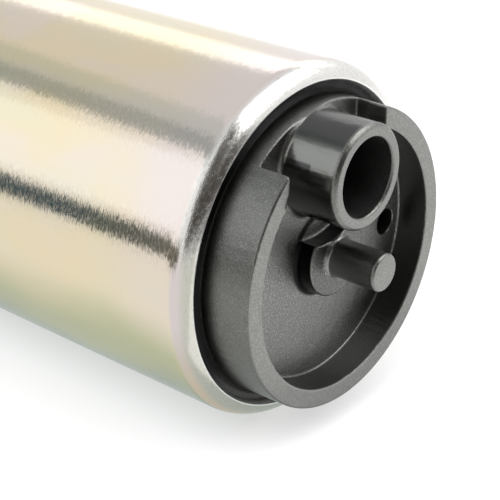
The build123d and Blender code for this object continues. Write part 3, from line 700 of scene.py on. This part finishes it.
# %% [markdown]
# Most of the other parts differ only in colour, shine and the size of their grain. One
# recipe covers them: two tones that a fine noise mixes, and the same noise as a shallow
# bump. The table gives each finish whether it is metal, its roughness, its two tones, its
# grain in mm and the depth of the bump in mm.

# %% Finishes of the smaller parts
def grained(slot, metal, roughness, dark_tone, light_tone, cell, depth):
    """Finish with two tones mixed by a fine grain that is also its relief."""
    tree, shader = new_finish(slot, metal, roughness)
    noise = speckle(tree, cell, detail=3.0)
    tone = mixed(tree, graded(tree, noise, 0.3, 0.7), dark_tone, light_tone)
    connect(tree, tone, shader, "Base Color")
    connect(tree, raised(tree, noise, depth), shader, "Normal")
    connect(tree, scaled(tree, noise, 0.12, roughness - 0.06), shader, "Roughness")


fine = (0.2, 0.2, 0.2)
turned_marks = (0.08, 1.5, 1.5)
grained("impeller_plastic", 0, 0.45, (0.06, 0.05, 0.045, 1), (0.11, 0.095, 0.08, 1), fine, 0.01)
grained("hard_steel", 1, 0.16, (0.56, 0.56, 0.57, 1), (0.66, 0.66, 0.67, 1), turned_marks, 0.002)
grained("sintered_bronze", 1, 0.5, (0.34, 0.22, 0.12, 1), (0.50, 0.33, 0.18, 1), fine, 0.02)
grained("insulator_plastic", 0, 0.5, (0.24, 0.16, 0.08, 1), (0.31, 0.22, 0.11, 1), fine, 0.01)
grained("enamelled_copper", 1, 0.2, (0.40, 0.12, 0.04, 1), (0.55, 0.19, 0.07, 1), fine, 0.003)
grained("bare_copper", 1, 0.3, (0.60, 0.25, 0.12, 1), (0.72, 0.32, 0.17, 1), turned_marks, 0.004)
grained("ferrite", 0, 0.55, (0.06, 0.06, 0.065, 1), (0.11, 0.11, 0.115, 1), fine, 0.012)
grained("spring_steel", 1, 0.28, (0.45, 0.45, 0.46, 1), (0.55, 0.55, 0.56, 1), turned_marks, 0.002)
grained("black_plastic", 0, 0.42, (0.022, 0.022, 0.024, 1), (0.036, 0.036, 0.038, 1), fine, 0.012)
grained("seal_rubber", 0, 0.65, (0.016, 0.016, 0.016, 1), (0.026, 0.026, 0.026, 1), fine, 0.012)
grained("brass", 1, 0.28, (0.66, 0.46, 0.20, 1), (0.77, 0.57, 0.28, 1), turned_marks, 0.003)
grained("valve_plastic", 0, 0.4, (0.50, 0.47, 0.39, 1), (0.60, 0.57, 0.49, 1), fine, 0.008)
grained("carbon", 0, 0.6, (0.028, 0.028, 0.03, 1), (0.055, 0.055, 0.058, 1), fine, 0.02)
print("finishes", len(finishes))

# %% [markdown]
# The armature core and the flux ring are steel. The core is a stack of thin sheets, which
# show as fine lines round it, so its finish has stripes across the axis.

# %% Sheet steel of the armature core
sheet_pitch = 0.5
tree, shader = new_finish("lamination_steel", 1.0, 0.35)
along = axes_of(tree, place_on_part(tree))["X"]
seam = maths(tree, "FRACT", product(tree, along, 1 / (sheet_pitch * mm)))
seam = graded(tree, maths(tree, "PINGPONG", seam, 0.5), 0.0, 0.12)
steel = mixed(tree, seam, (0.16, 0.16, 0.165, 1), (0.42, 0.42, 0.43, 1))
connect(tree, steel, shader, "Base Color")
connect(tree, raised(tree, seam, 0.03), shader, "Normal")
print("finish lamination_steel")

# %% [markdown]
# Every CAD node was packed with the name of its material slot, so the finishes are handed
# out by that name. Nodes that a finer piece replaces later simply stay hidden.

# %% Dress the CAD nodes
node_slot = {}
for name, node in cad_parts.items():
    node_slot[name] = node.material_slots[0].material.name
    node.material_slots[0].material = finishes[node_slot[name]]
print("dressed", len(node_slot), "nodes in", len(set(node_slot.values())), "finishes")

# %% [markdown]
# A finer piece takes over from its CAD nodes in three steps: it rides on the body that the
# nodes ride on, it replaces them, and it takes their slot's finish. One helper does all
# three, and smooths the shading except over sharp edges. Meshes are built in a bmesh, an
# editable form, and a second helper turns the form into the mesh that an object shows.

# %% Helpers for new pieces
def mesh_of(form, name):
    """Mesh of an editable form, which isn't needed after that."""
    mesh = bpy.data.meshes.new(name)
    form.to_mesh(mesh)
    form.free()
    return mesh


def fit_piece(name, mesh, body, *stands_for, sharp=40.0):
    """Turn a mesh into a piece of the pump that stands for CAD nodes."""
    piece = placed(name, mesh)
    mesh.materials.clear()
    slot = node_slot[stands_for[0]]
    mesh.materials.append(finishes[slot])
    mesh.polygons.foreach_set("use_smooth", [True] * len(mesh.polygons))
    mesh.set_sharp_from_angle(angle=radians(sharp))
    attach(piece, body)
    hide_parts(*stands_for)
    print(name, "faces", len(mesh.polygons))
    return piece


print("piece helpers ready")

# %% [markdown]
# The housing is one sheet of steel: a tube whose ends are rolled in over the covers. It is
# turned here from a closed outline, which gives the roll a true curve and a sheet edge that
# is slightly rounded, as a cut edge is after rolling. The outline is drawn once for the inlet
# end and mirrored for the other. The bend stops short of a quarter turn, so the sheet's cut
# edge shows as a thin line, which the steel's finish paints bright as a highlight.

# %% Turned housing with rolled ends
def arc(centre, radius, start, stop, steps):
    """Points of an arc, as (x, radius) of a turned outline, with angles in degrees."""
    angles = [radians(start + (stop - start) * step / steps) for step in range(steps + 1)]
    return [(centre[0] + radius * cos(a), centre[1] + radius * sin(a)) for a in angles]


def turned(name, outline, sides):
    """Turn a closed (x, radius) outline, in millimetres, about the pump's axis."""
    form = bmesh.new()
    rings = []
    for side in range(sides):
        angle = 2 * pi * side / sides
        places = [(x * mm, r * mm * cos(angle), r * mm * sin(angle)) for x, r in outline]
        rings.append([form.verts.new(place) for place in places])
    for side, ring in enumerate(rings):
        following = rings[(side + 1) % sides]
        for step in range(len(ring)):
            after = (step + 1) % len(ring)
            form.faces.new((ring[step], ring[after], following[after], following[step]))
    bmesh.ops.recalc_face_normals(form, faces=form.faces)
    return mesh_of(form, name)


body_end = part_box("housing")[1].x / mm
body_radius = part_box("housing")[1].y / mm
sheet_wall = 1.2
bend_radius = 2.48
inner_bend = bend_radius - sheet_wall
bend_reach = 2.6
bend_stop = 21
bend_steps = 28
edge_radius = 0.13
edge_steps = 5
bend_centre = (body_end - bend_reach, body_radius - bend_radius)


def along_bend(distance):
    """Point on the line from the bend's centre to its last angle."""
    angle = radians(bend_stop)
    return bend_centre[0] + distance * cos(angle), bend_centre[1] + distance * sin(angle)


outer_edge = along_bend(bend_radius - edge_radius)
inner_edge = along_bend(inner_bend + edge_radius)
half = [(x, body_radius) for x in (0.0, 12.0, 24.0, 33.0)]
half += arc(bend_centre, bend_radius, 90, bend_stop, bend_steps)
half += arc(outer_edge, edge_radius, bend_stop, bend_stop - 90, edge_steps)[1:]
half += arc(inner_edge, edge_radius, bend_stop - 90, bend_stop - 180, edge_steps)
half += arc(bend_centre, inner_bend, bend_stop, 90, 12)[1:]
half += [(0.0, body_radius - sheet_wall)]
mirrored = [(-x, r) for x, r in reversed(half[1:-1])]
housing_mesh = turned("housing_skin", half + mirrored, sides=360)
fit_piece("housing_skin", housing_mesh, "pump_body", "housing")

# %% [markdown]
# A casting has no knife edges: the mould rounds every one a little. The CAD solid has sharp
# ones, so the cover's skin starts from the solid, is rebuilt in small even cells (a voxel
# remesh), and is smoothed a few times, which rounds edges and foot corners alike. Cells far
# smaller than the rounding keep the round shapes true. One corner of the rim, beside the
# spigot, is rounder still, so only the points near it are smoothed further.

# %% Skins with moulded edges
def moulded(name, node, cell, passes=3, kept_faces=0.3):
    """Copy of a CAD node with its edges rounded by remeshing and smoothing."""
    form = bmesh.new()
    form.from_mesh(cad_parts[node].data)
    bmesh.ops.remove_doubles(form, verts=form.verts, dist=0.001 * mm)
    blank = placed(name + "_blank", mesh_of(form, name + "_start"))
    remesh = blank.modifiers.new("cells", "REMESH")
    remesh.mode = "VOXEL"
    remesh.voxel_size = cell * mm
    smooth = blank.modifiers.new("rounding", "SMOOTH")
    smooth.factor = 0.5
    smooth.iterations = passes
    fewer = blank.modifiers.new("fewer_faces", "DECIMATE")
    fewer.ratio = kept_faces
    graph = bpy.context.evaluated_depsgraph_get()
    mesh = bpy.data.meshes.new_from_object(blank.evaluated_get(graph))
    bpy.data.objects.remove(blank)
    mesh.name = name
    return mesh


def rounded_corner(mesh, line, root, reach, passes):
    """Smooth a mesh near a line along X through a (y, z) place, past its root, in mm."""
    form = bmesh.new()
    form.from_mesh(mesh)
    near = [v for v in form.verts if (Vector(v.co.yz) / mm - Vector(line)).length < reach]
    near = [v for v in near if root < v.co.x / mm]
    every_way = {"use_axis_x": True, "use_axis_y": True, "use_axis_z": True}
    for _ in range(passes):
        bmesh.ops.smooth_vert(form, verts=near, factor=0.5, **every_way)
    form.to_mesh(mesh)
    form.free()
    print("rounded a corner of", len(near), "points")


rim_root = 40.3
rim_corner = (-9.78, 9.6)
inlet_mesh = moulded("inlet_cover_skin", "inlet_cover", cell=0.12)
rounded_corner(inlet_mesh, rim_corner, rim_root, reach=0.6, passes=16)
fit_piece("inlet_cover_skin", inlet_mesh, "pump_body", "inlet_cover", sharp=180.0)
outlet_mesh = moulded("outlet_cover_skin", "outlet_cover", cell=0.15)
fit_piece("outlet_cover_skin", outlet_mesh, "pump_body", "outlet_cover", sharp=180.0)

# %% [markdown]
# The relief valve closes with a ground steel ball. A ball turned from an outline has a knot
# of thin faces at each pole. A cube cut into small squares, whose points are then moved to
# one distance from the middle, has even faces all over and takes the shine without a flaw.

# %% Ball of the relief valve
def ball(name, node, cuts):
    """Mesh of a ball in the place of a CAD node, made from an evenly cut cube."""
    low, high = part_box(node)
    middle = (low + high) / 2
    radius = (high.x - low.x) / 2
    form = bmesh.new()
    bmesh.ops.create_cube(form, size=1.0)
    bmesh.ops.subdivide_edges(form, edges=form.edges, cuts=cuts, use_grid_fill=True)
    for point in form.verts:
        point.co = middle + point.co.normalized() * radius
    return mesh_of(form, name)


ball_mesh = ball("relief_ball", "relief_valve_ball", cuts=13)
fit_piece("relief_ball", ball_mesh, "relief_valve", "relief_valve_ball")

# %% [markdown]
# Springs, choke windings and the brush leads are wire. A wire is made by sweeping a ring of
# points along its centre line: each ring is turned as little as possible from the one before,
# so the tube doesn't twist.

# %% Wires swept along their centre lines
def carried_along(line):
    """Each point of a line with two directions across it, turned as little as possible."""
    outward = None
    for step, point in enumerate(line):
        ahead = (line[min(step + 1, len(line) - 1)] - line[max(step - 1, 0)]).normalized()
        if outward is None:
            outward = ahead.orthogonal()
        outward = (outward - ahead * outward.dot(ahead)).normalized()
        yield point, outward, ahead.cross(outward)


def wires(name, lines, wire_radius, sides=8):
    """Mesh of round wires along centre lines in millimetres."""
    form = bmesh.new()
    for line in lines:
        rings = []
        for point, outward, sideways in carried_along(line):
            ring = []
            for side in range(sides):
                turn = 2 * pi * side / sides
                offset = wire_radius * (cos(turn) * outward + sin(turn) * sideways)
                ring.append(form.verts.new((point + offset) * mm))
            rings.append(ring)
        for before, after in zip(rings, rings[1:]):
            for side in range(sides):
                following = (side + 1) % sides
                form.faces.new((before[side], before[following], after[following], after[side]))
        form.faces.new(reversed(rings[0]))
        form.faces.new(rings[-1])
    bmesh.ops.recalc_face_normals(form, faces=form.faces)
    return mesh_of(form, name)


print("wire helpers ready")

# %% [markdown]
# Each coil spring presses on flat seats, so its end turns are closed: over the first and the
# last turn the wire climbs by only its own thickness, and the open turns share what is left.
# A spring fills its CAD sleeve.
# The table gives each spring's joint, its wire in mm, its turns and the joint's travel in mm.

# %% Coil springs
steps_per_turn = 28
brush_travel = 3.0


def coil(low, high, wire, turns, closed=1.0):
    """Centre line of a compression spring between two corners of its CAD sleeve."""
    middle = (low + high) / 2
    radius = (high.y - low.y - wire) / 2
    start, stop = low.x + wire / 2, high.x - wire / 2
    climb_closed = wire * closed
    climb_open = (stop - start - 2 * climb_closed) / (turns - 2 * closed)
    line = []
    for step in range(int(turns * steps_per_turn) + 1):
        turn = step / steps_per_turn
        if turn < closed:
            x = start + wire * turn
        elif turn < turns - closed:
            x = start + climb_closed + climb_open * (turn - closed)
        else:
            x = stop - wire * (turns - turn)
        angle = 2 * pi * turn
        line.append(Vector((x, middle.y + radius * cos(angle), middle.z + radius * sin(angle))))
    return line


def corners_mm(node):
    """Lowest and highest corner of a CAD node in millimetres."""
    low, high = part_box(node)
    return low / mm, high / mm


springs = (
    ("brush_spring_positive", "positive_brush_slide", 0.5, 5.5, brush_travel),
    ("brush_spring_negative", "negative_brush_slide", 0.5, 5.5, brush_travel),
    ("check_valve_spring", "check_valve_lift", 0.4, 6.0, 2.0),
    ("relief_valve_spring", "relief_valve_lift", 0.4, 3.5, 1.0),
)
for node, joint, wire, turns, travel in springs:
    low, high = corners_mm(node)
    mesh = wires(node + "_coil", [coil(low, high, wire, turns)], wire / 2)
    spring = fit_piece(node + "_coil", mesh, "pump_body", node)
    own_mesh(spring)

# %% [markdown]
# The chokes are enamelled copper wire wound turn beside turn on a ferrite rod. That is a coil
# whose turns are nearly all closed ones, so the spring's helper winds it too.

# %% Choke windings
choke_wire = 0.9
for pole in ("positive", "negative"):
    node = "choke_winding_" + pole
    low, high = corners_mm(node)
    turns = (high.x - low.x) / choke_wire - 1
    close_wound = coil(low, high, choke_wire, turns, closed=turns / 2 - 0.01)
    fit_piece("choke_turns_" + pole, wires(node, [close_wound], choke_wire / 2), "pump_body", node)

# %% [markdown]
# The brush leads are bare copper braid: four strands laid round a centre line that leaves the
# side of the brush and bends down to the choke. A NURBS curve takes the few points of the
# route as its controls and gives the smooth line that the strands follow.

# %% Brush leads
def smooth_line(name, route):
    """Smooth line in millimetres that a NURBS curve draws from the points of a route."""
    data = bpy.data.curves.new(name, "CURVE")
    data.dimensions = "3D"
    data.resolution_u = 16
    spline = data.splines.new("NURBS")
    spline.points.add(len(route) - 1)
    for control, point in zip(spline.points, route):
        control.co = (*(point * mm), 1.0)
    spline.order_u = 3
    spline.use_endpoint_u = True
    curve = bpy.data.objects.new(name, data)
    line = [vertex.co / mm for vertex in bpy.data.meshes.new_from_object(curve).vertices]
    bpy.data.objects.remove(curve)
    return line


def laid_strands(line, count, spread, pitch):
    """Strands laid like rope round a centre line in millimetres."""
    strands = [[] for _ in range(count)]
    travelled = 0.0
    last = line[0]
    for point, outward, sideways in carried_along(line):
        travelled += (point - last).length
        last = point
        for number, strand in enumerate(strands):
            turn = 2 * pi * (number / count + travelled / pitch)
            strand.append(point + spread * (cos(turn) * outward + sin(turn) * sideways))
    return strands


lead_inset = 0.4
lead_height = -5.0
strand_count = 4
strand_radius = 0.17
strand_spread = 0.22
lay_length = 2.4
for pole, side in (("positive", 1), ("negative", -1)):
    node = "brush_lead_" + pole
    low, high = corners_mm(node)
    brush_x, brush_y = high.x - lead_inset, side * 7.6
    choke_x, choke_y = low.x + lead_inset, side * 9.5
    route = [
        Vector((brush_x, brush_y, high.z)),
        Vector((brush_x, brush_y, lead_height)),
        Vector((choke_x, choke_y, lead_height)),
        Vector((choke_x, choke_y, low.z)),
    ]
    centre_line = smooth_line("lead_line_" + pole, route)
    print(node, "points on the line", len(centre_line))
    strands = laid_strands(centre_line, strand_count, strand_spread, lay_length)
    mesh = wires(node, strands, strand_radius, sides=6)
    lead = fit_piece("brush_braid_" + pole, mesh, "pump_body", node)
    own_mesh(lead)
